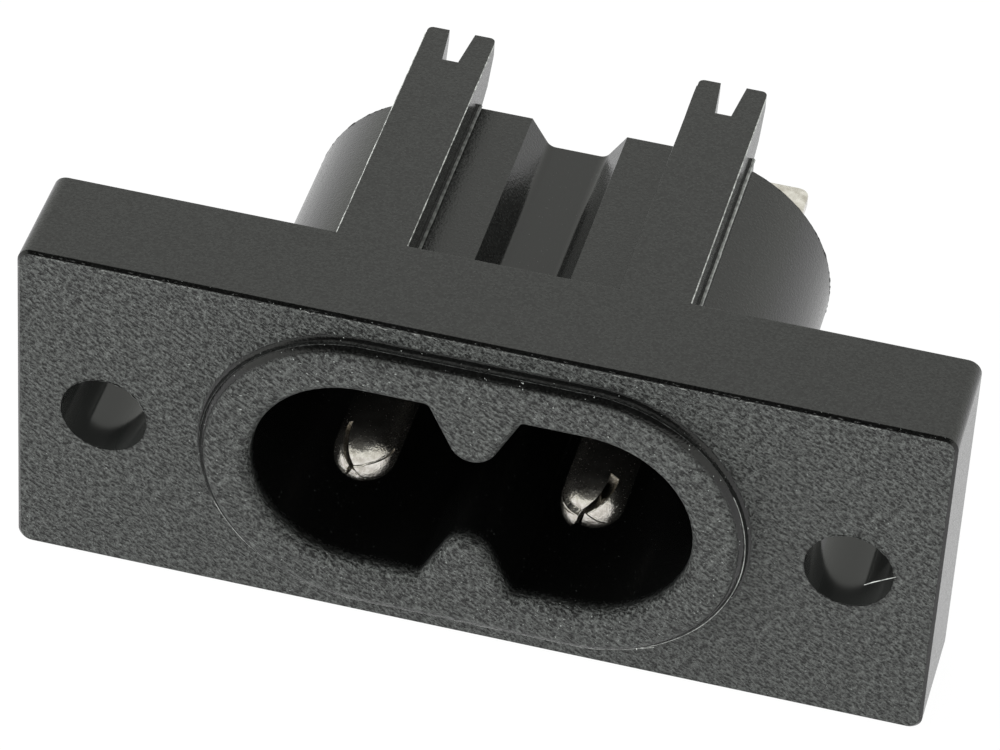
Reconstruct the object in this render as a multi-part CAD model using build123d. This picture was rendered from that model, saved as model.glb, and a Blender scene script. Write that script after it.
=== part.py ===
from build123d import *
import math
import os

# A two-pin appliance inlet with a screw flange, for fixing in a panel or a moulded case.
# Millimetres. X runs along the flange, Y runs into the equipment, Z is up. The flat front
# face of the flange lies at Y = 0, midway between the two screw holes.

# Socket: two round lobes with a tongue between them at the top and the bottom
lobe_spacing = 8.3
socket_radius = 4.15
socket_floor = 12.4
socket_entry = 0.4
tongue_reach = 1.85
tongue_tip = 0.95
tongue_flank = 27.0
shoulder_round = 0.2

# Raised pad round the socket: its round front edge ends in a line where the mould parted
pad_height = 0.7
pad_wall = 1.935
pad_edge = 0.65
pad_swell = 0.085
pad_foot = 0.35

# Screw holes and the bosses round them
hole_spacing = 28.0
hole_radius = 1.65
boss_wall = 1.35
boss_web = 3.0

# Flange: its border beyond the pad and beyond the screw holes sets its height and width
flange_border = 0.965
flange_end = 3.33
flange_depth = 4.5
flange_corner = 0.55
flange_edge = 0.12
front_wall = 1.2
rim_wall = 1.2

# Outside of the socket, with a channel that follows each tongue
socket_wall = 1.5
housing_spacing = 9.1
housing_rear = 15.05
housing_draft = 0.3
channel_floor = 4.5
channel_half = 1.05
channel_flank = 33.0
channel_round = 0.35

# Forked arms along the top
arm_spacing = 10.57
arm_width = 2.63
arm_tip = 17.5
arm_tip_thickness = 0.4
arm_root_drop = 2.2
arm_knee_back = 1.0
arm_knee_drop = 1.55
arm_corner = 0.22
arm_ledge = 0.13
arm_ledge_drop = 1.3
fork_length = 1.85
fork_mouth = 1.0
fork_floor = 0.62

# Contacts, each rolled and folded from one strip. A gap between two petals is given by its
# direction in degrees and by its widths at the junction and at the outside of the pin.
pin_spacing = 8.6
pin_radius = 1.18
pin_tip = 0.0
root_radius = 1.4
strip = 0.5
petal_length = 1.3
left_junction = (-0.21, 0.14)
left_gaps = ((125.0, 0.12, 0.2), (20.0, 0.05, 0.08), (232.0, 0.08, 0.1), (290.0, 0.08, 0.1))
right_junction = (-0.12, 0.26)
right_gaps = ((55.0, 0.22, 0.38), (-40.0, 0.05, 0.06), (168.0, 0.05, 0.07), (250.0, 0.1, 0.12))
seam_gap = 0.09
tag_width = 4.8
tag_offset = 1.45
tag_end = 20.75
tag_corner = 0.4
tag_hole_radius = 0.8
tag_hole_back = 1.9
tag_seat = 0.9
tag_neck = 1.3

# Clearances, and the slack allowed when a corner is looked up by its place
pin_clearance = 0.05
tag_clearance = 0.1
slack = 1e-4

# Sizes that follow from those above
pad_radius = socket_radius + pad_wall
housing_radius = socket_radius + socket_wall
hole_x = hole_spacing / 2
boss_radius = hole_radius + boss_wall
flange_top = pad_radius + flange_border
flange_height = 2 * flange_top
flange_width = hole_spacing + 2 * flange_end
tag_root = housing_rear - tag_seat


def outline_at(outline, depth):
    """The outline, drawn as seen from the front, stood up at the given depth."""
    return Plane.XZ.offset(-depth) * outline


def prism(outline, front, rear, draft=0.0):
    """A straight block with the given front view, from one depth back to another."""
    return extrude(outline_at(outline, front), amount=rear - front, dir=(0, 1, 0), taper=draft)


def both_ways_up(sketch):
    """The sketch and its mirror image below the middle line."""
    return sketch + mirror(sketch, about=Plane.XZ)


def tongue(reach, tip, flank, top):
    """A wedge that points down at the middle, with a round tip."""
    apex = reach - tip * (1 / math.sin(math.radians(flank)) - 1)
    half = (top - apex) * math.tan(math.radians(flank))
    wedge = Polygon((0, apex), (half, top), (-half, top), align=None)
    return fillet(wedge.vertices().sort_by(Axis.Y)[0], tip)


def channel(floor, half, flank, corner, top):
    """A flat-bottomed groove at the middle, open at the top."""
    mouth = half + (top - floor) * math.tan(math.radians(flank))
    groove = Polygon((-half, floor), (half, floor), (mouth, top), (-mouth, top), align=None)
    return fillet(groove.vertices().group_by(Axis.Y)[0], corner)


def socket_outline():
    """The figure eight that the plug goes into."""
    lobes = SlotCenterToCenter(lobe_spacing, 2 * socket_radius)
    outline = lobes - both_ways_up(tongue(tongue_reach, tongue_tip, tongue_flank, flange_top))
    shoulders = [
        corner
        for corner in outline.vertices()
        if abs(abs(corner.Y) - socket_radius) < slack and abs(corner.X) < lobe_spacing / 2 - slack
    ]
    return fillet(shoulders, shoulder_round)


def housing_outline():
    """The outside of the socket, with its two channels."""
    lobes = SlotCenterToCenter(housing_spacing, 2 * housing_radius)
    groove = channel(channel_floor, channel_half, channel_flank, channel_round, flange_top)
    return lobes - both_ways_up(groove)


def flange_with_pad():
    """The bevelled flange plate, and the round-edged pad on it with a hollow round at its foot."""
    plate = prism(RectangleRounded(flange_width, flange_height, flange_corner), 0, flange_depth)
    plate = chamfer(plate.edges().group_by(Axis.Y)[0], flange_edge)
    crown = SlotCenterToCenter(lobe_spacing, 2 * (pad_radius + pad_swell))
    crown = prism(crown, -pad_height, front_wall)
    crown = fillet(crown.edges().group_by(Axis.Y)[0], pad_edge)
    pad = prism(SlotCenterToCenter(lobe_spacing, 2 * pad_radius), -pad_height, front_wall)
    flange = plate + (pad & crown)
    front = flange.faces().filter_by(Axis.Y).filter_by_position(Axis.Y, -slack, slack)[0]
    return fillet(front.inner_wires()[0].edges(), pad_foot)


def arm(side):
    """One forked arm: flush with the flange, thinning to its tip, with a slot in its end."""
    root = flange_top - arm_root_drop
    lower_tip = flange_top - arm_tip_thickness
    profile = Polygon(
        (front_wall, flange_top),
        (arm_tip, flange_top),
        (arm_tip, lower_tip),
        (arm_tip - arm_knee_back, flange_top - arm_knee_drop),
        (housing_rear, root),
        (front_wall, root),
        align=None,
    )
    bar = extrude(Plane.YZ * profile, amount=arm_width / 2, both=True)
    bar = fillet(bar.edges().filter_by(Axis.Z).group_by(Axis.Y)[-1], arm_corner)
    ledge_top = flange_top - arm_ledge_drop
    ledge = Polygon(
        (front_wall, ledge_top),
        (housing_rear, ledge_top),
        (housing_rear, root),
        (front_wall, root),
        align=None,
    )
    bar += extrude(Plane.YZ * ledge, amount=arm_width / 2 + arm_ledge, both=True)
    slot = Polygon(
        (-fork_floor / 2, arm_tip - fork_length),
        (fork_floor / 2, arm_tip - fork_length),
        (fork_mouth / 2, arm_tip),
        (-fork_mouth / 2, arm_tip),
        align=None,
    )
    bar -= extrude(Plane.XY.offset(root) * slot, amount=arm_root_drop)
    return Pos(side * arm_spacing / 2, 0, 0) * bar


def core_pockets():
    """The four hollows in the back of the flange, round the bosses and the socket."""
    inside = RectangleRounded(
        flange_width - 2 * rim_wall, flange_height - 2 * rim_wall, flange_corner / 2
    )
    middle = Rectangle(arm_spacing + arm_width + 2 * rim_wall, flange_height)
    lobes = SlotCenterToCenter(housing_spacing, 2 * housing_radius)
    web = Rectangle(hole_spacing, boss_web)
    bosses = Pos(hole_x, 0) * Circle(boss_radius) + Pos(-hole_x, 0) * Circle(boss_radius)
    return prism(inside - middle - lobes - web - bosses, front_wall, flange_depth)


def contact_seats():
    """The bore for each pin and the slot that holds the root of each solder tag."""
    seats = []
    for side in (-1, 1):
        bore = Pos(side * pin_spacing / 2, 0) * Circle(root_radius + pin_clearance)
        seats.append(prism(bore, socket_floor, housing_rear))
        slot = Rectangle(tag_width + 2 * tag_clearance, strip + 2 * tag_clearance)
        slot = Pos(side * (pin_spacing / 2 + tag_offset), 0) * slot
        seats.append(prism(slot, tag_root, housing_rear))
    return seats


def make_housing():
    """The one-piece moulding: flange, pad, socket and arms."""
    body = flange_with_pad()
    body += prism(housing_outline(), front_wall, housing_rear, housing_draft)
    body -= core_pockets()
    body += arm(-1)
    body += arm(1)
    body -= prism(socket_outline(), -pad_height, socket_floor)
    crown = body.faces().filter_by(Axis.Y).sort_by(Axis.Y)[0]
    body = fillet(crown.inner_wires()[0].edges(), socket_entry)
    for side in (-1, 1):
        body -= prism(Pos(side * hole_x, 0) * Circle(hole_radius), 0, flange_depth)
    for seat in contact_seats():
        body -= seat
    return body


def gap_outline(junction, direction, inner, outer):
    """A gap between two petals, wider or narrower towards the outside of the pin."""
    gap = Polygon(
        (0, -inner / 2),
        (pin_radius, -outer / 2),
        (pin_radius, outer / 2),
        (0, inner / 2),
        align=None,
    )
    return Pos(*junction) * Rot(0, 0, direction) * gap


def make_contact(side, junction, gaps):
    """A rolled pin with a domed end of four petals, and the flat solder tag behind it."""
    dome = pin_tip + pin_radius
    bore_radius = pin_radius - strip
    shank = prism(Circle(pin_radius), dome, tag_root) + Pos(0, dome, 0) * Sphere(pin_radius)
    shank += prism(Circle(root_radius), socket_floor, tag_root)
    pin = shank - prism(Circle(bore_radius), dome, tag_root)
    cross = [
        prism(gap_outline(junction, *gap), pin_tip, pin_tip + petal_length) for gap in gaps
    ]
    seam = prism(Pos(0, -pin_radius / 2) * Rectangle(seam_gap, pin_radius), dome, socket_floor)
    neck = prism(Rectangle(2 * bore_radius, strip), tag_root - tag_neck, tag_root)
    tag = Pos(side * tag_offset, (tag_root + tag_end) / 2) * Rectangle(
        tag_width, tag_end - tag_root
    )
    tag = fillet(tag.vertices().group_by(Axis.Y)[-1], tag_corner)
    tag -= Pos(side * tag_offset, tag_end - tag_hole_back) * Circle(tag_hole_radius)
    blade = extrude(tag, amount=strip / 2, both=True)
    return Pos(side * pin_spacing / 2, 0, 0) * (pin - cross - seam + neck + blade)


os.makedirs("parts", exist_ok=True)
export_step(make_housing(), "parts/housing.step")
export_step(make_contact(-1, left_junction, left_gaps), "parts/contact_left.step")
export_step(make_contact(1, right_junction, right_gaps), "parts/contact_right.step")
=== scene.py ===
# %% [markdown]
# # A two-pin appliance inlet
# The object is a small black moulding with a screw flange, and two nickel-plated contacts
# that end in four petals inside the socket and in a flat solder tag behind it.
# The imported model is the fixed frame. The moulding's node keeps its shape and gets a
# material, the contacts are modelled again in more detail, and the thin flash and burrs
# that a worn mould leaves are added as small pieces.
# Sizes of the object are written in millimetres, and MM turns them into metres.

# %% Load the frame
import math
import random

import bpy
from mathutils import Euler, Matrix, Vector


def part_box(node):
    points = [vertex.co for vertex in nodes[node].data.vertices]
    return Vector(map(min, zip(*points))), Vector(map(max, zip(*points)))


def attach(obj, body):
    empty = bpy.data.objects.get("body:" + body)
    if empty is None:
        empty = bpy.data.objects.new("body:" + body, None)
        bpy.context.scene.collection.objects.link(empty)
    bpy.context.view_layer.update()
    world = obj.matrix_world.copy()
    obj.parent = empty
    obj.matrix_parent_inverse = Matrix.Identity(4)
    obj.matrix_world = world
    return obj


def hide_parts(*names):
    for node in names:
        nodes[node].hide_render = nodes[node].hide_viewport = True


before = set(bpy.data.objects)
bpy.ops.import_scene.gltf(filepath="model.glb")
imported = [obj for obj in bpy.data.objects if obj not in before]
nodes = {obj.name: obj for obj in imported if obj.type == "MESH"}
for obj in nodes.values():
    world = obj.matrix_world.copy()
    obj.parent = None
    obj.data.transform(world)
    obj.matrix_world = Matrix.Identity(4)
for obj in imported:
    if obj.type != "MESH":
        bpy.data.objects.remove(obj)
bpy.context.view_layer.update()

MM = 0.001
scene = bpy.context.scene
print("nodes:", sorted(nodes))

# %% [markdown]
# ## Camera
# The view is from above and a little to the right, with a long lens, so that parallel
# edges stay almost parallel. The place and the turn were found by matching the corners of
# the flange, the rims of the holes and the ends of the arms.

# %% Camera
camera_data = bpy.data.cameras.new("camera")
camera_data.lens = 208.23
camera_data.clip_start = 0.01
camera = bpy.data.objects.new("camera", camera_data)
camera.location = (0.0330322, -0.1534555, 0.1397729)
camera.rotation_euler = Euler([math.radians(a) for a in (49.4315, -2.9097, 14.3741)])
scene.collection.objects.link(camera)
scene.camera = camera
print("camera stands", round(camera.location.length / MM), "mm from the flange")

# %% [markdown]
# ## Helpers for shaders
# Every material below is a small graph of nodes. These helpers add a node and link it, so
# that a graph reads like a calculation.

# %% Helpers for any graph
def link(tree, source, target):
    tree.links.new(source, target)


def put(tree, value, target):
    """Links an output to an input, or sets the input to a plain number."""
    if hasattr(value, "links"):
        link(tree, value, target)
    else:
        target.default_value = value


def node(tree, kind, **settings):
    """A new node with the given settings."""
    made = tree.nodes.new(kind)
    for name, value in settings.items():
        setattr(made, name, value)
    return made


def math_node(tree, operation, *values):
    made = node(tree, "ShaderNodeMath", operation=operation)
    for value, target in zip(values, made.inputs):
        put(tree, value, target)
    return made.outputs[0]


def times(tree, first, *others):
    for other in others:
        first = math_node(tree, "MULTIPLY", first, other)
    return first


def less(tree, value):
    """1 minus the value."""
    return math_node(tree, "SUBTRACT", 1.0, value)


def mapped(tree, value, low, high, interpolation):
    """The value drawn out so that low becomes 0 and high becomes 1."""
    made = node(tree, "ShaderNodeMapRange", interpolation_type=interpolation)
    link(tree, value, made.inputs["Value"])
    made.inputs["From Min"].default_value = low
    made.inputs["From Max"].default_value = high
    return made.outputs[0]


def spread(tree, value, low, high):
    return mapped(tree, value, low, high, "LINEAR")


def step_up(tree, value, low, high):
    """0 below the low value and 1 above the high one, with a smooth step between."""
    return mapped(tree, value, low, high, "SMOOTHSTEP")


def split_up(tree, vector):
    """The X, Y and Z of a vector."""
    made = node(tree, "ShaderNodeSeparateXYZ")
    link(tree, vector, made.inputs[0])
    return made.outputs["X"], made.outputs["Y"], made.outputs["Z"]


def mix_shaders(tree, share, first, second, output_kind):
    """Sends the first shader to the output where share is 0, and the second where it is 1."""
    mix = node(tree, "ShaderNodeMixShader")
    link(tree, share, mix.inputs[0])
    link(tree, first.outputs[0], mix.inputs[1])
    link(tree, second.outputs[0], mix.inputs[2])
    link(tree, mix.outputs[0], node(tree, output_kind).inputs[0])


def empty_tree(owner):
    """The node tree of a world or a material, with nothing in it."""
    owner.use_nodes = True
    owner.node_tree.nodes.clear()
    return owner.node_tree


print("helpers for shaders are ready")

# %% [markdown]
# ## Background and light
# The object stands on a white table in a white tent, which is dark above the front.
# The world is white where the camera looks at it. For everything else it is white round the
# horizon and at the back, and dark overhead in front, so edges that face that way turn black.

# %% World
scene.view_settings.view_transform = "Standard"

CEILING_START, CEILING_END, CEILING_DEPTH = 0.40, 0.65, 0.92
FRONT_START, FRONT_END = -0.35, 0.25
TENT_COLOUR = (0.985, 1.0, 0.95, 1)
WHITE = (1, 1, 1, 1)

world = bpy.data.worlds.new("tent")
scene.world = world
tree = empty_tree(world)
direction = split_up(tree, node(tree, "ShaderNodeTexCoord").outputs["Generated"])
in_front = step_up(tree, times(tree, direction[1], -1.0), FRONT_START, FRONT_END)
overhead = step_up(tree, direction[2], CEILING_START, CEILING_END)
tent = node(tree, "ShaderNodeBackground")
tent.inputs["Color"].default_value = TENT_COLOUR
brightness = less(tree, times(tree, in_front, overhead, CEILING_DEPTH))
link(tree, brightness, tent.inputs["Strength"])
white = node(tree, "ShaderNodeBackground")
white.inputs["Color"].default_value = WHITE
path = node(tree, "ShaderNodeLightPath").outputs
seen = math_node(tree, "MAXIMUM", path["Is Camera Ray"], path["Is Transmission Ray"])
mix_shaders(tree, seen, tent, white, "ShaderNodeOutputWorld")
print("world has", len(tree.nodes), "nodes")

# %% Lamps
def soft_lamp(name, place, size, power):
    """A round lamp that looks at the flange, with its size in metres and its power in watts."""
    data = bpy.data.lights.new(name, "AREA")
    data.shape = "DISK"
    data.size = size
    data.energy = power
    lamp = bpy.data.objects.new(name, data)
    lamp.location = place
    lamp.rotation_euler = (-Vector(place)).to_track_quat("-Z", "Y").to_euler()
    lamp.visible_camera = False
    lamp.visible_glossy = False
    scene.collection.objects.link(lamp)


soft_lamp("softbox", (0.077, -0.31, 0.137), size=0.40, power=0.72)
soft_lamp("left_lamp", (-0.30, -0.12, 0.10), size=0.25, power=1.1)

# %% Floor
FLOOR_SIZE, FLOOR_GAP = 2.0, 0.01 * MM
TABLE_WHITE = (0.97, 0.97, 0.97, 1)
GLOW_STRENGTH, GLOW_SHARE = 1.03, 0.94

bpy.ops.object.select_all(action="DESELECT")
floor_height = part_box("housing")[0].z - FLOOR_GAP
bpy.ops.mesh.primitive_plane_add(size=FLOOR_SIZE, location=(0, 0, floor_height))
floor = bpy.context.object
floor.name = "floor"
bpy.ops.object.transform_apply(location=True, rotation=True, scale=True)
material = bpy.data.materials.new("white_table")
tree = empty_tree(material)
matt = node(tree, "ShaderNodeBsdfDiffuse")
matt.inputs["Color"].default_value = TABLE_WHITE
glow = node(tree, "ShaderNodeEmission")
glow.inputs["Strength"].default_value = GLOW_STRENGTH
path = node(tree, "ShaderNodeLightPath").outputs
seen = math_node(tree, "MAXIMUM", path["Is Camera Ray"], path["Is Glossy Ray"])
seen = math_node(tree, "MAXIMUM", seen, path["Is Transmission Ray"])
mix_shaders(tree, times(tree, seen, GLOW_SHARE), matt, glow, "ShaderNodeOutputMaterial")
floor.data.materials.append(material)
print("floor lies at", round(floor_height / MM, 2), "mm")

# %% [markdown]
# ## Materials
# All patterns are laid out in millimetres on the object itself. The moulding has a spark
# grain on the faces that look forward and a satin skin elsewhere. Its walls inside the
# socket are painted near black as a painted shade, the walls of the screw holes are painted
# lighter as a painted reflection, and edges that turn from the front are painted darker as a
# painted shade. Pale flecked plastic is the own colour of a hair and some burrs, and a
# painted highlight on the arms' edges, the beads beside the arms and the pad's line. The
# contacts are bright nickel with small dents.

# %% Helpers for materials
def principled(name):
    """A new material and its tree, with one Principled shader."""
    material = bpy.data.materials.new(name)
    material.use_nodes = True
    tree = material.node_tree
    return material, tree, tree.nodes["Principled BSDF"]


def object_place(tree):
    """The place on the object in millimetres."""
    place = node(tree, "ShaderNodeVectorMath", operation="SCALE")
    link(tree, node(tree, "ShaderNodeTexCoord").outputs["Object"], place.inputs[0])
    place.inputs["Scale"].default_value = 1 / MM
    return place.outputs[0]


def distance(tree, across, up):
    """The length of a line from its two parts."""
    squares = math_node(tree, "ADD", times(tree, across, across), times(tree, up, up))
    return math_node(tree, "SQRT", squares)


def mix_values(tree, share, first, second):
    """first where share is 0, second where share is 1."""
    made = node(tree, "ShaderNodeMix", data_type="FLOAT")
    for name, value in (("Factor", share), ("A", first), ("B", second)):
        put(tree, value, made.inputs[name])
    return made.outputs[0]


def noise(tree, place, scale, detail, roughness, turn=None, stretch=None):
    """Noise that may be drawn out, after a turn of its axes."""
    if stretch:
        turned = node(tree, "ShaderNodeMapping", vector_type="TEXTURE")
        link(tree, place, turned.inputs["Vector"])
        turned.inputs["Rotation"].default_value = turn
        turned.inputs["Scale"].default_value = stretch
        place = turned.outputs[0]
    made = node(tree, "ShaderNodeTexNoise")
    link(tree, place, made.inputs["Vector"])
    made.inputs["Scale"].default_value = scale
    made.inputs["Detail"].default_value = detail
    made.inputs["Roughness"].default_value = roughness
    return made.outputs[0]


def dress(piece, material):
    """Gives a piece one material."""
    piece.data.materials.clear()
    piece.data.materials.append(material)


print("helpers for materials are ready")

# %% Plastic: where each kind of surface lies
LOBE_HALF, HOLE_X = 4.15, 14.0
SOCKET_RIM = (4.5, 4.6)
HOLE_RIM = (1.66, 1.69)
FORWARD_TURN = (0.78, 0.94)
EDGE_TURN = (0.2, 0.5)

plastic, tree, shader = principled("black_moulding")
place = object_place(tree)
x, y, z = split_up(tree, place)
normal = split_up(tree, node(tree, "ShaderNodeTexCoord").outputs["Normal"])
ahead = times(tree, normal[1], -1.0)
forward = step_up(tree, ahead, *FORWARD_TURN)
turning = times(tree, less(tree, forward), step_up(tree, ahead, *EDGE_TURN))

sideways = math_node(tree, "ABSOLUTE", x)
past_lobe = math_node(tree, "MAXIMUM", math_node(tree, "SUBTRACT", sideways, LOBE_HALF), 0.0)
in_socket = less(tree, step_up(tree, distance(tree, past_lobe, z), *SOCKET_RIM))
past_hole = math_node(tree, "SUBTRACT", sideways, HOLE_X)
in_hole = less(tree, step_up(tree, distance(tree, past_hole, z), *HOLE_RIM))

grains = noise(tree, place, scale=11.0, detail=1.0, roughness=0.5)
grains = spread(tree, grains, 0.33, 0.67)
ragged_depth = math_node(tree, "MULTIPLY_ADD", grains, 0.3, y)
# Deeper in the socket than a ragged line past its rim, the walls are painted near black as a
# painted shade for the recess. A ragged band at the rim keeps the front's grained colour, which
# fades into that painted shade.
inside = times(tree, in_socket, step_up(tree, ragged_depth, -0.5, 0.35))
rim = times(tree, in_socket, less(tree, step_up(tree, ragged_depth, -0.35, 0.4)))
bore = times(tree, in_hole, step_up(tree, y, 0.0, 0.05))
front = times(tree, forward, less(tree, step_up(tree, y, 0.05, 0.2)), less(tree, bore))
front = math_node(tree, "MAXIMUM", front, rim)
print("places on the moulding take", len(tree.nodes), "nodes")

# %% Plastic: shade, gloss and grain
GRAIN_TILT, GRAIN_STRETCH = (0, math.radians(31), 0), (2.3, 1.0, 1.0)
PAINT_SHADE, SATIN_SHADE = 0.048, 0.016
PAINTED_LIGHT_IN_BORE, PAINTED_SHADE_IN_SOCKET = 0.023, 0.0025
EDGE_SOFTNESS, GRAIN_DEPTH = 0.04 * MM, 0.03 * MM

streaks = noise(tree, place, 8.5, 2.0, 0.6, GRAIN_TILT, GRAIN_STRETCH)
streaks = spread(tree, streaks, 0.36, 0.64)
patches = spread(tree, noise(tree, place, 0.9, 2.0, 0.5), 0.25, 0.75)
pits = step_up(tree, noise(tree, place, 13.0, 0.0, 0.5), 0.22, 0.30)
sparks = step_up(tree, noise(tree, place, 12.0, 0.0, 0.5), 0.81, 0.85)
texture = math_node(tree, "ADD", times(tree, streaks, 0.6), times(tree, grains, 0.4))

paint = math_node(tree, "MULTIPLY_ADD", texture, 3.0, -0.5)
paint = math_node(tree, "MAXIMUM", paint, 0.1)
paint = times(tree, paint, math_node(tree, "MULTIPLY_ADD", patches, 0.24, 0.88))
paint = times(tree, paint, PAINT_SHADE, math_node(tree, "MULTIPLY_ADD", pits, 0.6, 0.4))
paint = math_node(tree, "MULTIPLY_ADD", sparks, 0.22, paint)
satin = times(tree, grains, SATIN_SHADE)
# Edges that turn from the front towards the top or side are darkened by up to four fifths: a
# painted shade.
satin = times(tree, satin, math_node(tree, "MULTIPLY_ADD", turning, -0.8, 1.0))
satin = math_node(tree, "MULTIPLY_ADD", sparks, 0.02, satin)
satin = math_node(tree, "MULTIPLY_ADD", times(tree, sparks, turning), 0.25, satin)
# Painted shade in the socket: near black, with a few pale specks.
painted_socket_shade = math_node(tree, "MULTIPLY_ADD", sparks, 0.05, PAINTED_SHADE_IN_SOCKET)
shade = mix_values(tree, front, satin, paint)
# The screw holes' walls are painted lighter than the satin skin, as a painted reflection.
shade = mix_values(tree, bore, shade, PAINTED_LIGHT_IN_BORE)
shade = mix_values(tree, inside, shade, painted_socket_shade)
colour = node(tree, "ShaderNodeCombineColor")
for channel, share in (("Red", 1.0), ("Green", 1.06), ("Blue", 1.02)):
    link(tree, times(tree, shade, share), colour.inputs[channel])
link(tree, colour.outputs[0], shader.inputs["Base Color"])

gloss = math_node(tree, "MULTIPLY_ADD", grains, 0.08, 0.2)
gloss = mix_values(tree, front, gloss, 0.55)
gloss = mix_values(tree, times(tree, turning, less(tree, front)), gloss, 0.12)
gloss = mix_values(tree, bore, gloss, 0.12)
gloss = mix_values(tree, inside, gloss, 0.25)
link(tree, gloss, shader.inputs["Roughness"])

soft_edges = node(tree, "ShaderNodeBevel", samples=6)
soft_edges.inputs["Radius"].default_value = EDGE_SOFTNESS
height = mix_values(tree, front, times(tree, grains, 0.13), times(tree, texture, 3.4))
height = times(tree, height, less(tree, math_node(tree, "MAXIMUM", inside, bore)))
bump = node(tree, "ShaderNodeBump")
bump.inputs["Distance"].default_value = GRAIN_DEPTH
link(tree, height, bump.inputs["Height"])
link(tree, soft_edges.outputs[0], bump.inputs["Normal"])
link(tree, bump.outputs[0], shader.inputs["Normal"])
dress(nodes["housing"], plastic)
print("plastic has", len(tree.nodes), "nodes")

# %% Pale flecked plastic, for pale burrs and for painted highlights on edges
def flecked_pale(name, low, high):
    """Plastic with pale flecks between two shades of grey, for pale burrs and painted
    highlights.
    """
    material, tree, shader = principled(name)
    flecks = noise(tree, object_place(tree), 4.0, 2.0, 0.6)
    flecks = step_up(tree, flecks, 0.36, 0.60)
    colour = node(tree, "ShaderNodeMix", data_type="RGBA")
    link(tree, flecks, colour.inputs["Factor"])
    colour.inputs["A"].default_value = (low, low * 1.03, low, 1)
    colour.inputs["B"].default_value = (high, high * 1.03, high, 1)
    link(tree, colour.outputs["Result"], shader.inputs["Base Color"])
    gloss = math_node(tree, "MULTIPLY_ADD", flecks, 0.2, 0.3)
    link(tree, gloss, shader.inputs["Roughness"])
    return material


pale_burrs_and_painted_highlights = flecked_pale("pale_burrs_and_painted_highlights", 0.25, 0.70)
painted_highlight_pale = flecked_pale("painted_highlight_pale", 0.18, 0.40)
grey_flecks_and_painted_highlight = flecked_pale("grey_flecks_and_painted_highlight", 0.07, 0.20)
print("pale plastics:", pale_burrs_and_painted_highlights.name, painted_highlight_pale.name, grey_flecks_and_painted_highlight.name)

# %% Nickel
DARK_NICKEL, BRIGHT_NICKEL = (0.50, 0.47, 0.42, 1), (0.78, 0.75, 0.70, 1)
DENT_DEPTH = 0.03 * MM

nickel, tree, shader = principled("nickel_plate")
shader.inputs["Metallic"].default_value = 0.985
place = object_place(tree)
mottle = noise(tree, place, 3.0, 4.0, 0.6)
dents = noise(tree, place, 12.0, 2.0, 0.5)
shade = node(tree, "ShaderNodeValToRGB")
link(tree, mottle, shade.inputs[0])
stops = ((0.35, DARK_NICKEL), (0.65, BRIGHT_NICKEL))
for stop, (position, tint) in zip(shade.color_ramp.elements, stops):
    stop.position = position
    stop.color = tint
link(tree, shade.outputs[0], shader.inputs["Base Color"])
gloss = math_node(tree, "MULTIPLY_ADD", dents, 0.2, 0.13)
link(tree, gloss, shader.inputs["Roughness"])
bump = node(tree, "ShaderNodeBump")
bump.inputs["Distance"].default_value = DENT_DEPTH
height = math_node(tree, "ADD", mottle, times(tree, dents, 0.3))
link(tree, height, bump.inputs["Height"])
link(tree, bump.outputs[0], shader.inputs["Normal"])
print("nickel has", len(tree.nodes), "nodes")

# %% [markdown]
# ## Contacts
# Each contact is stamped from one strip of brass, rolled into a hollow pin and nickel
# plated. Its end is cut into four petals, which are pressed together into a dome, and the
# gaps between them stay open and a little crooked. The wall is drawn as an outline and spun
# round the pin's middle line, the gaps are cut with pairs of planes, the petals are bent
# each by its own amount, and then the wall gets its thickness and its worn edges.

# %% Helpers for modelling
WELD = 1e-7


def edit(piece):
    """Goes into edit mode on one piece, set to faces and with none of them selected."""
    bpy.ops.object.select_all(action="DESELECT")
    bpy.context.view_layer.objects.active = piece
    piece.select_set(True)
    bpy.ops.object.mode_set(mode="EDIT")
    bpy.ops.mesh.select_mode(type="FACE")
    bpy.ops.mesh.select_all(action="DESELECT")


def select(piece, kind, rule):
    """Selects the vertices, edges or faces whose place keeps to the rule, and counts them."""
    bpy.ops.object.mode_set(mode="OBJECT")
    mesh = piece.data
    for item in list(mesh.vertices) + list(mesh.edges) + list(mesh.polygons):
        item.select = False
    if kind == "VERT":
        items = [(v, v.co) for v in mesh.vertices]
    elif kind == "EDGE":
        corners = [[mesh.vertices[v].co for v in e.vertices] for e in mesh.edges]
        items = [(e, (a + b) / 2) for e, (a, b) in zip(mesh.edges, corners)]
    else:
        items = [(p, p.center) for p in mesh.polygons]
    count = 0
    for item, place in items:
        if rule(place):
            item.select = True
            count += 1
    bpy.ops.object.mode_set(mode="EDIT")
    bpy.ops.mesh.select_mode(type=kind)
    return count


def done():
    """Leaves edit mode with nothing selected."""
    bpy.ops.object.mode_set(mode="OBJECT")
    bpy.ops.object.select_all(action="DESELECT")


def finish_with(piece, kind, **settings):
    """Adds a modifier with the given settings and applies it."""
    bpy.context.view_layer.objects.active = piece
    made = piece.modifiers.new(kind.lower(), kind)
    for name, value in settings.items():
        setattr(made, name, value)
    bpy.ops.object.modifier_apply(modifier=made.name)


def wear_edges(piece, width, segments):
    """Rounds every edge that turns by more than 50 degrees."""
    limit = math.radians(50)
    settings = {"segments": segments, "limit_method": "ANGLE", "angle_limit": limit}
    finish_with(piece, "BEVEL", width=width * MM, **settings)


def join(piece, other):
    """Makes the other piece's mesh a part of this one."""
    bpy.ops.object.select_all(action="DESELECT")
    other.select_set(True)
    piece.select_set(True)
    bpy.context.view_layer.objects.active = piece
    bpy.ops.object.join()


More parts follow.
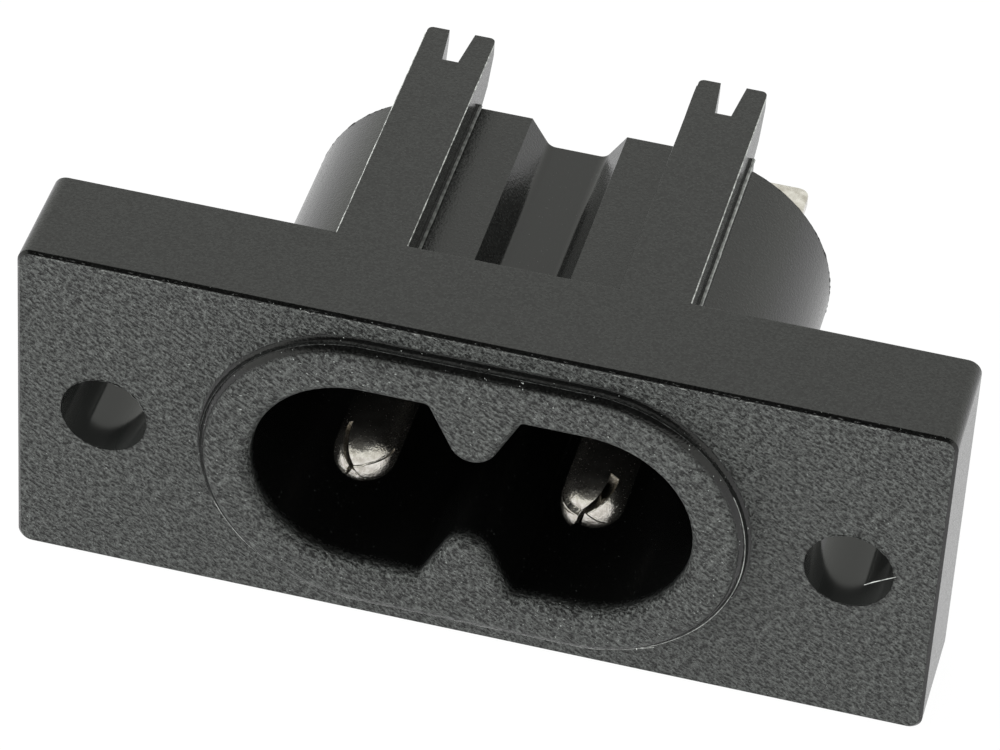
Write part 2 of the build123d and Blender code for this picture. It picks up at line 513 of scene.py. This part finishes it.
def draw_outline(name, points):
    """A new piece with one line of edges through the points, drawn by pulling out a vertex."""
    bpy.ops.object.select_all(action="DESELECT")
    bpy.ops.mesh.primitive_plane_add(size=MM, location=(0, 0, 0))
    piece = bpy.context.object
    piece.name = piece.data.name = name
    bpy.ops.object.mode_set(mode="EDIT")
    bpy.ops.mesh.select_mode(type="VERT")
    bpy.ops.mesh.select_all(action="SELECT")
    bpy.ops.mesh.merge(type="CENTER")
    bpy.ops.transform.translate(value=points[0])
    for before, after in zip(points, points[1:]):
        step = {"value": Vector(after) - Vector(before)}
        bpy.ops.mesh.extrude_vertices_move(TRANSFORM_OT_translate=step)
    return piece


def heading(angle):
    """The direction of an angle in degrees, as seen from the front."""
    return Vector((math.cos(math.radians(angle)), math.sin(math.radians(angle))))


print("helpers for modelling are ready")

# %% Sizes of a contact
PIN_X, PIN_R = 4.3, 1.18
DOME_START, DOME_LENGTH, DOME_STEPS = 1.18, 1.25, 16
SHANK_DEPTHS = (1.2, 1.45, 1.8, 2.6, 4.0, 7.0, 10.0, 12.3)
COLLAR_R, COLLAR_START, COLLAR_EDGE = 1.4, 12.35, 0.1
WALL, WALL_EDGE = 0.45, 0.07
SEAM_GAP, SEAM_END = 0.09, 13.0
BEND_DEPTHS = (0.95, 0.75, 0.55, 0.35, 0.15)
CROWN_REACH = 1.35
TAG_ROOT, TAG_END, TAG_WIDTH, TAG_OFFSET = 14.15, 20.75, 4.8, 1.45
TAG_THICKNESS, TAG_OVERLAP, TAG_CORNER, TAG_EDGE = 0.5, 0.5, 0.45, 0.06
TAG_HOLE_R, TAG_HOLE_BACK = 0.8, 1.9

# For each pin: where its gaps meet, then each gap's direction in degrees, its widths at the
# junction and at the outside, and the depth of its root. A bend says how far a petal stands
# outward and forward, for the petals in the order of their directions.
LEFT_JUNCTION = (-0.21, 0.14)
LEFT_GAPS = (
    (125, 0.12, 0.2, 1.35),
    (20, 0.05, 0.08, 1.0),
    (232, 0.12, 0.1, 1.0),
    (290, 0.03, 0.05, 1.1),
)
LEFT_BENDS = ((0, 0), (0.06, 0.04), (0.03, 0.04), (0, 0))
RIGHT_JUNCTION = (-0.12, 0.26)
RIGHT_GAPS = (
    (55, 0.22, 0.38, 1.35),
    (-40, 0.05, 0.06, 1.0),
    (168, 0.05, 0.07, 1.0),
    (250, 0.1, 0.12, 1.1),
)
RIGHT_BENDS = ((0, 0), (0.12, 0.2), (0, 0), (0.03, 0))
print("a contact is", round(TAG_END - DOME_START + DOME_LENGTH, 2), "mm long")

# %% Steps of a contact
def contact_outline():
    """The pin's outside as radius and depth, from the tip to the middle of its rear end."""
    points = []
    for step in range(DOME_STEPS):
        turn = math.radians(90 * step / DOME_STEPS)
        depth = DOME_START - DOME_LENGTH * math.cos(turn)
        points.append((PIN_R * math.sin(turn), depth))
    points += [(PIN_R, depth) for depth in SHANK_DEPTHS]
    points += [
        (COLLAR_R - COLLAR_EDGE, COLLAR_START),
        (COLLAR_R, COLLAR_START + COLLAR_EDGE),
        (COLLAR_R, TAG_ROOT - COLLAR_EDGE),
        (COLLAR_R - COLLAR_EDGE, TAG_ROOT),
        (0.5, TAG_ROOT),
        (0, TAG_ROOT),
    ]
    return points


def spin_pin(name, x):
    """The skin of a pin, as its outline spun round the middle line."""
    points = [((x + radius) * MM, depth * MM, 0) for radius, depth in contact_outline()]
    piece = draw_outline(name, points)
    bpy.ops.mesh.select_all(action="SELECT")
    bpy.ops.mesh.spin(steps=96, angle=math.tau, center=(x * MM, 0, 0), axis=(0, 1, 0))
    bpy.ops.mesh.select_all(action="SELECT")
    bpy.ops.mesh.remove_doubles(threshold=WELD)
    bpy.ops.mesh.normals_make_consistent(inside=False)
    return piece


def move_crown(piece, x, junction):
    """Pulls the middle of the dome to the place where the gaps meet."""
    def is_crown(place):
        return place.y < -0.05 * MM and abs(place.x - x * MM) < 0.02 * MM

    select(piece, "VERT", is_crown)
    bpy.ops.transform.translate(
        value=(junction[0] * MM, 0, junction[1] * MM),
        use_proportional_edit=True,
        proportional_edit_falloff="SMOOTH",
        proportional_size=CROWN_REACH * MM,
    )


def cut_gap(piece, x, start, end, widths, front, rear):
    """Opens a gap in the wall along a straight line, seen from the front, between two depths."""
    start, end = Vector(start), Vector(end)
    along = (end - start).normalized()
    across = Vector((-along.y, along.x))
    sides = []
    for sign in (-1, 1):
        first = start + across * sign * widths[0] / 2
        last = end + across * sign * widths[1] / 2
        line = (last - first).normalized()
        sides.append((first, Vector((-line.y, line.x))))

    def near(place):
        seen = Vector((place.x / MM - x, place.z / MM)) - start
        beside = seen.dot(along) > -0.05 and abs(seen.dot(across)) < 0.5
        return beside and front - 0.3 < place.y / MM < rear + 0.5

    planes = [
        (((x + point.x) * MM, 0, point.y * MM), (normal.x, 0, normal.y))
        for point, normal in sides
    ]
    planes += [((0, depth * MM, 0), (0, 1, 0)) for depth in (front, rear)]
    for point, normal in planes:
        select(piece, "FACE", near)
        bpy.ops.mesh.bisect(plane_co=point, plane_no=normal, threshold=WELD)

    def between(place):
        seen = Vector((place.x / MM - x, place.z / MM))
        offsets = [(seen - point).dot(normal) for point, normal in sides]
        inside = offsets[0] > 0 > offsets[1]
        return inside and (seen - start).dot(along) > 0 and front < place.y / MM < rear

    select(piece, "FACE", between)
    bpy.ops.mesh.delete(type="FACE")


def cut_gaps(piece, x, junction, gaps):
    """Cuts the gaps between the petals, and the pin's seam behind the last one."""
    for angle, inner, outer, root in gaps:
        end = heading(angle) * PIN_R * 1.05
        cut_gap(piece, x, junction, end, (inner, outer), -1.0, root)
    angle, root = gaps[-1][0], gaps[-1][3]
    cut_gap(piece, x, (0, 0), heading(angle) * PIN_R, (SEAM_GAP, SEAM_GAP), root, SEAM_END)


def on_petal(x, junction, low, high, depth):
    """A rule for the part of one petal that lies before a depth."""
    def rule(place):
        seen = Vector((place.x / MM - x - junction[0], place.z / MM - junction[1]))
        turn = math.atan2(seen.y, seen.x) % math.tau
        turn = turn + math.tau if turn < low else turn
        return place.y / MM < depth and low < turn < high

    return rule


def bend_petals(piece, x, junction, gaps, bends):
    """Bends each petal in steps, each step on a shorter part of it than the one before."""
    order = sorted(math.radians(gap[0]) % math.tau for gap in gaps)
    petals = zip(order, order[1:] + [order[0] + math.tau])
    for (low, high), (outward, forward) in zip(petals, bends):
        middle = (low + high) / 2
        push = (outward * math.cos(middle), -forward, outward * math.sin(middle))
        push = Vector(push) * MM / len(BEND_DEPTHS)
        for depth in BEND_DEPTHS:
            if select(piece, "VERT", on_petal(x, junction, low, high, depth)):
                bpy.ops.transform.translate(value=push)


def make_tag(name, side):
    """The flat solder tag: a plate with two rounded corners, and a punched hole."""
    front = TAG_ROOT - TAG_OVERLAP
    middle = Vector((side * (PIN_X + TAG_OFFSET), (front + TAG_END) / 2, 0)) * MM
    bpy.ops.object.select_all(action="DESELECT")
    bpy.ops.mesh.primitive_cube_add(size=MM, location=middle)
    tag = bpy.context.object
    tag.name = tag.data.name = name
    tag.scale = (TAG_WIDTH, TAG_END - front, TAG_THICKNESS)
    bpy.ops.object.transform_apply(location=True, rotation=True, scale=True)

    def is_corner(place):
        return place.y > (TAG_END - 0.01) * MM and abs(place.z) < 0.01 * MM

    edit(tag)
    select(tag, "EDGE", is_corner)
    bpy.ops.mesh.bevel(offset=TAG_CORNER * MM, segments=6)
    done()
    hole = (middle.x, (TAG_END - TAG_HOLE_BACK) * MM, 0)
    bpy.ops.mesh.primitive_cylinder_add(
        vertices=48, radius=TAG_HOLE_R * MM, depth=2 * MM, location=hole
    )
    punch = bpy.context.object
    bpy.ops.object.transform_apply(location=True, rotation=True, scale=True)
    finish_with(tag, "BOOLEAN", object=punch, operation="DIFFERENCE", solver="EXACT")
    bpy.data.objects.remove(punch)
    wear_edges(tag, TAG_EDGE, 2)
    return tag


# %% Both contacts
def make_contact(name, side, junction, gaps, bends):
    x = side * PIN_X
    piece = spin_pin(name, x)
    move_crown(piece, x, junction)
    cut_gaps(piece, x, junction, gaps)
    bend_petals(piece, x, junction, gaps, bends)
    bpy.ops.mesh.select_all(action="SELECT")
    bpy.ops.mesh.remove_doubles(threshold=0.012 * MM)
    done()
    finish_with(piece, "SOLIDIFY", thickness=WALL * MM, offset=-1)
    wear_edges(piece, WALL_EDGE, 3)
    join(piece, make_tag(name + "_tag", side))
    print(name, "has", len(piece.data.polygons), "faces")
    return piece


left_contact = make_contact(
    "contact_left_detailed", -1, LEFT_JUNCTION, LEFT_GAPS, LEFT_BENDS
)
right_contact = make_contact(
    "contact_right_detailed", 1, RIGHT_JUNCTION, RIGHT_GAPS, RIGHT_BENDS
)
for piece, cad_node in ((left_contact, "contact_left"), (right_contact, "contact_right")):
    dress(piece, nickel)
    bpy.ops.object.select_all(action="DESELECT")
    bpy.context.view_layer.objects.active = piece
    piece.select_set(True)
    bpy.ops.object.shade_smooth_by_angle(angle=math.radians(40))
    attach(piece, "root")
    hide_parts(cad_node)

# %% [markdown]
# ## Flash and burrs
# The mould is worn, so thin strings of plastic stand along the edges where its halves met:
# round the pad, along the arms, on the flange's upper edges and at the back of the socket.
# Each string is drawn through points that wander a little, and its thickness changes from
# point to point. The cut edges of the petals carry fine burrs of metal.

# %% Helpers for strings
random.seed(7)


def sliver(name, points, thickness, wander=0.0, uneven=0.3):
    """A thin ragged string through the points, with half its thickness as given."""
    stray = [Vector([random.uniform(-wander, wander) for _ in range(3)]) for _ in points]
    line = [(Vector(point) + away) * MM for point, away in zip(points, stray)]
    piece = draw_outline(name, line)
    bpy.ops.mesh.select_all(action="SELECT")
    bpy.ops.mesh.remove_doubles(threshold=WELD)
    done()
    piece.select_set(True)
    bpy.ops.object.convert(target="CURVE")
    piece = bpy.context.object
    piece.data.bevel_depth = thickness * MM
    piece.data.bevel_resolution = 1
    piece.data.use_fill_caps = True
    for spline in piece.data.splines:
        for point in spline.points:
            point.radius = random.uniform(1 - uneven, 1)
    bpy.ops.object.convert(target="MESH")
    return bpy.context.object


def between(start, end, step):
    """Points along a straight line, about one step apart."""
    start, end = Vector(start), Vector(end)
    count = max(2, round((end - start).length / step))
    return [start.lerp(end, i / count) for i in range(count + 1)]


def slot_loop(half, radius, depth, count):
    """Points round a slot outline at one depth."""
    loop = []
    for side in (1, -1):
        for i in range(count + 1):
            turn = math.radians(-90 + 180 * i / count) + (math.pi if side < 0 else 0)
            loop.append((side * half + radius * math.cos(turn), depth, radius * math.sin(turn)))
        loop += between(loop[-1], (-side * half, depth, loop[-1][2]), 0.5)[1:-1]
    return [tuple(p) for p in loop]


def arc(centre, radius, depth, start, end, count):
    """Points on an arc round a middle at one depth, from one angle to another."""
    turns = [math.radians(start + (end - start) * i / count) for i in range(count + 1)]
    return [(centre + radius * math.cos(t), depth, radius * math.sin(t)) for t in turns]


print("helpers for strings are ready")

# %% Flash of plastic
ARM_X, ARM_HALF, ARM_END, TOP = 5.285, 1.315, 17.4, 7.05
LEDGE_DROP, LEDGE_END = 1.33, 15.0
PARTING_R, PARTING_DEPTH = 6.09, -0.378
FLANGE_EDGE, FLANGE_BACK = 16.75, 4.485
WALL_X, WALL_R, WALL_END = 4.55, 5.56, 15.03
RIM_R = 1.66

pad_line = slot_loop(LOBE_HALF, PARTING_R, PARTING_DEPTH, 48)
quarter = len(pad_line) // 4
flash = [
    sliver("line_on_pad_right", pad_line[:quarter], 0.024, 0.003, 0.5),
    sliver("line_on_pad_top", pad_line[quarter : 3 * quarter], 0.022, 0.003, 0.5),
    sliver("line_on_pad_bottom", pad_line[3 * quarter :] + pad_line[:1], 0.024, 0.003, 0.5),
]
for name, side in (("left", -1), ("right", 1)):
    for edge, wing in (("left", -1), ("right", 1)):
        x, z = side * ARM_X + wing * (ARM_HALF + 0.014), TOP - 0.036
        points = between((x, 4.55, z), (x, ARM_END - 0.3, z), 0.35)
        flash.append(sliver(f"flash_{name}_arm_{edge}", points, 0.034, 0.002, 0.5))
        x, z = side * ARM_X + wing * (ARM_HALF + 0.11), TOP - LEDGE_DROP
        points = between((x, 4.45, z), (x, LEDGE_END, z), 0.5)
        flash.append(sliver(f"bead_{name}_arm_{edge}", points, 0.075, 0.004, 0.15))
points = between((-FLANGE_EDGE, 0.06, 6.96), (FLANGE_EDGE, 0.06, 6.96), 0.11)
flash.append(sliver("flash_front_top", points, 0.03, 0.025, 0.95))
points = between((-16.6, 0.0, 6.89), (14.5, 0.0, 6.89), 0.10)
flash.append(sliver("flecks_front_top", points, 0.027, 0.035, 1.0))
for name, start, end in (("left", -16.8, -7.0), ("middle", -3.6, 3.6), ("right", 7.0, 16.8)):
    z = TOP - 0.05
    points = between((start, FLANGE_BACK, z), (end, FLANGE_BACK, z), 0.16)
    flash.append(sliver("flash_back_top_" + name, points, 0.034, 0.012, 0.95))
for name, centre, start, end in (("left", -WALL_X, 101, 200), ("right", WALL_X, -20, 64)):
    points = arc(centre, WALL_R, WALL_END, start, end, 60)
    flash.append(sliver("flash_socket_" + name, points, 0.035, 0.012, 0.9))
print("strings along edges:", len(flash))

# %% Single marks
MARKS = (
    (
        "hair_in_hole",
        ((14.62, -0.01, -0.5), (14.9, -0.04, -0.27), (15.3, -0.05, -0.02), (15.72, -0.01, 0.19)),
        0.018,
    ),
    (
        "burr_left_of_pad",
        ((-8.4, 0.0, -3.62), (-8.3, -0.06, -3.72), (-8.12, -0.05, -3.74), (-8.02, 0.0, -3.8)),
        0.02,
    ),
    (
        "burr_on_tongue",
        ((-0.2, -0.5, -1.98), (0.0, -0.62, -1.95), (0.25, -0.6, -2.0), (0.42, -0.52, -2.05)),
        0.03,
    ),
    (
        "burr_on_pad_line_a",
        ((6.59, -0.40, -5.05), (6.6, -0.46, -5.3), (6.63, -0.40, -5.62)),
        0.022,
    ),
    (
        "burr_on_pad_line_b",
        ((6.5, -0.38, -5.55), (6.85, -0.45, -5.42), (7.25, -0.36, -5.36)),
        0.022,
    ),
)
for name, points, thickness in MARKS:
    flash.append(sliver(name, points, thickness))
for name, side in (("left", -1), ("right", 1)):
    points = arc(side * HOLE_X, RIM_R, 0.0, 0, 360, 90)
    flash.append(sliver("rim_of_hole_" + name, points, 0.035, 0.015, 1.0))

# Pale flecked plastic on some strings. On three of the arms' top edges, on the beads to the
# right of both arms, and on the pad's line to the right and below, it is a painted highlight.
# The pad's line above keeps the black moulding. On the hair and the burrs it is their own pale
# colour, and the string along the flange's front top edge is grey with pale flecks.
paler = {
    "flash_left_arm_left": pale_burrs_and_painted_highlights,
    "flash_left_arm_right": pale_burrs_and_painted_highlights,
    "flash_right_arm_right": pale_burrs_and_painted_highlights,
    "hair_in_hole": pale_burrs_and_painted_highlights,
    "burr_left_of_pad": pale_burrs_and_painted_highlights,
    "burr_on_pad_line_a": pale_burrs_and_painted_highlights,
    "burr_on_pad_line_b": pale_burrs_and_painted_highlights,
    "line_on_pad_right": painted_highlight_pale,
    "line_on_pad_bottom": painted_highlight_pale,
    "bead_right_arm_right": painted_highlight_pale,
    "flecks_front_top": grey_flecks_and_painted_highlight,
    "bead_left_arm_right": grey_flecks_and_painted_highlight,
}
for piece in flash:
    dress(piece, paler.get(piece.name, plastic))
    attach(piece, "root")
print("pieces of flash:", len(flash))

# %% Burrs on the cut edges of the petals
def along_gap(pin, x, junction, angle, offsets, start, end):
    """The pin's foremost points beside a gap, at two offsets from its middle line."""
    along = heading(angle)
    across = Vector((-along.y, along.x))
    front = [v.co / MM for v in pin.data.vertices if v.co.y < 1.3 * MM]
    steps = 8
    points = []
    for step in range(steps + 1):
        share = step / steps
        seen = Vector(junction) + along * (start + (end - start) * share)
        seen += across * (offsets[0] + (offsets[1] - offsets[0]) * share)
        nearest = min(
            front, key=lambda p: math.hypot(p.x - x - seen.x, p.z - seen.y) + 0.1 * p.y
        )
        points.append(tuple(nearest))
    return list(dict.fromkeys(points))


left_pin = (left_contact, -PIN_X, LEFT_JUNCTION)
right_pin = (right_contact, PIN_X, RIGHT_JUNCTION)
burrs = []
for name, pin, angle, offsets, start, end in (
    ("left_pin_a", left_pin, 125, (0.08, 0.13), 0.05, 0.95),
    ("left_pin_b", left_pin, 20, (-0.05, -0.08), 0.05, 1.15),
    ("left_pin_c", left_pin, 232, (0.06, 0.06), 0.1, 0.8),
    ("right_pin_a", right_pin, 55, (-0.14, -0.22), 0.1, 0.85),
    ("right_pin_b", right_pin, 168, (0.05, 0.06), 0.1, 0.95),
    ("right_pin_c", right_pin, -40, (0.05, 0.06), 0.1, 1.1),
):
    points = along_gap(*pin, angle, offsets, start, end)
    piece = sliver("burr_" + name, points, 0.045, uneven=0.6)
    dress(piece, nickel)
    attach(piece, "root")
    burrs.append(piece)
print("burrs on the petals:", len(burrs))
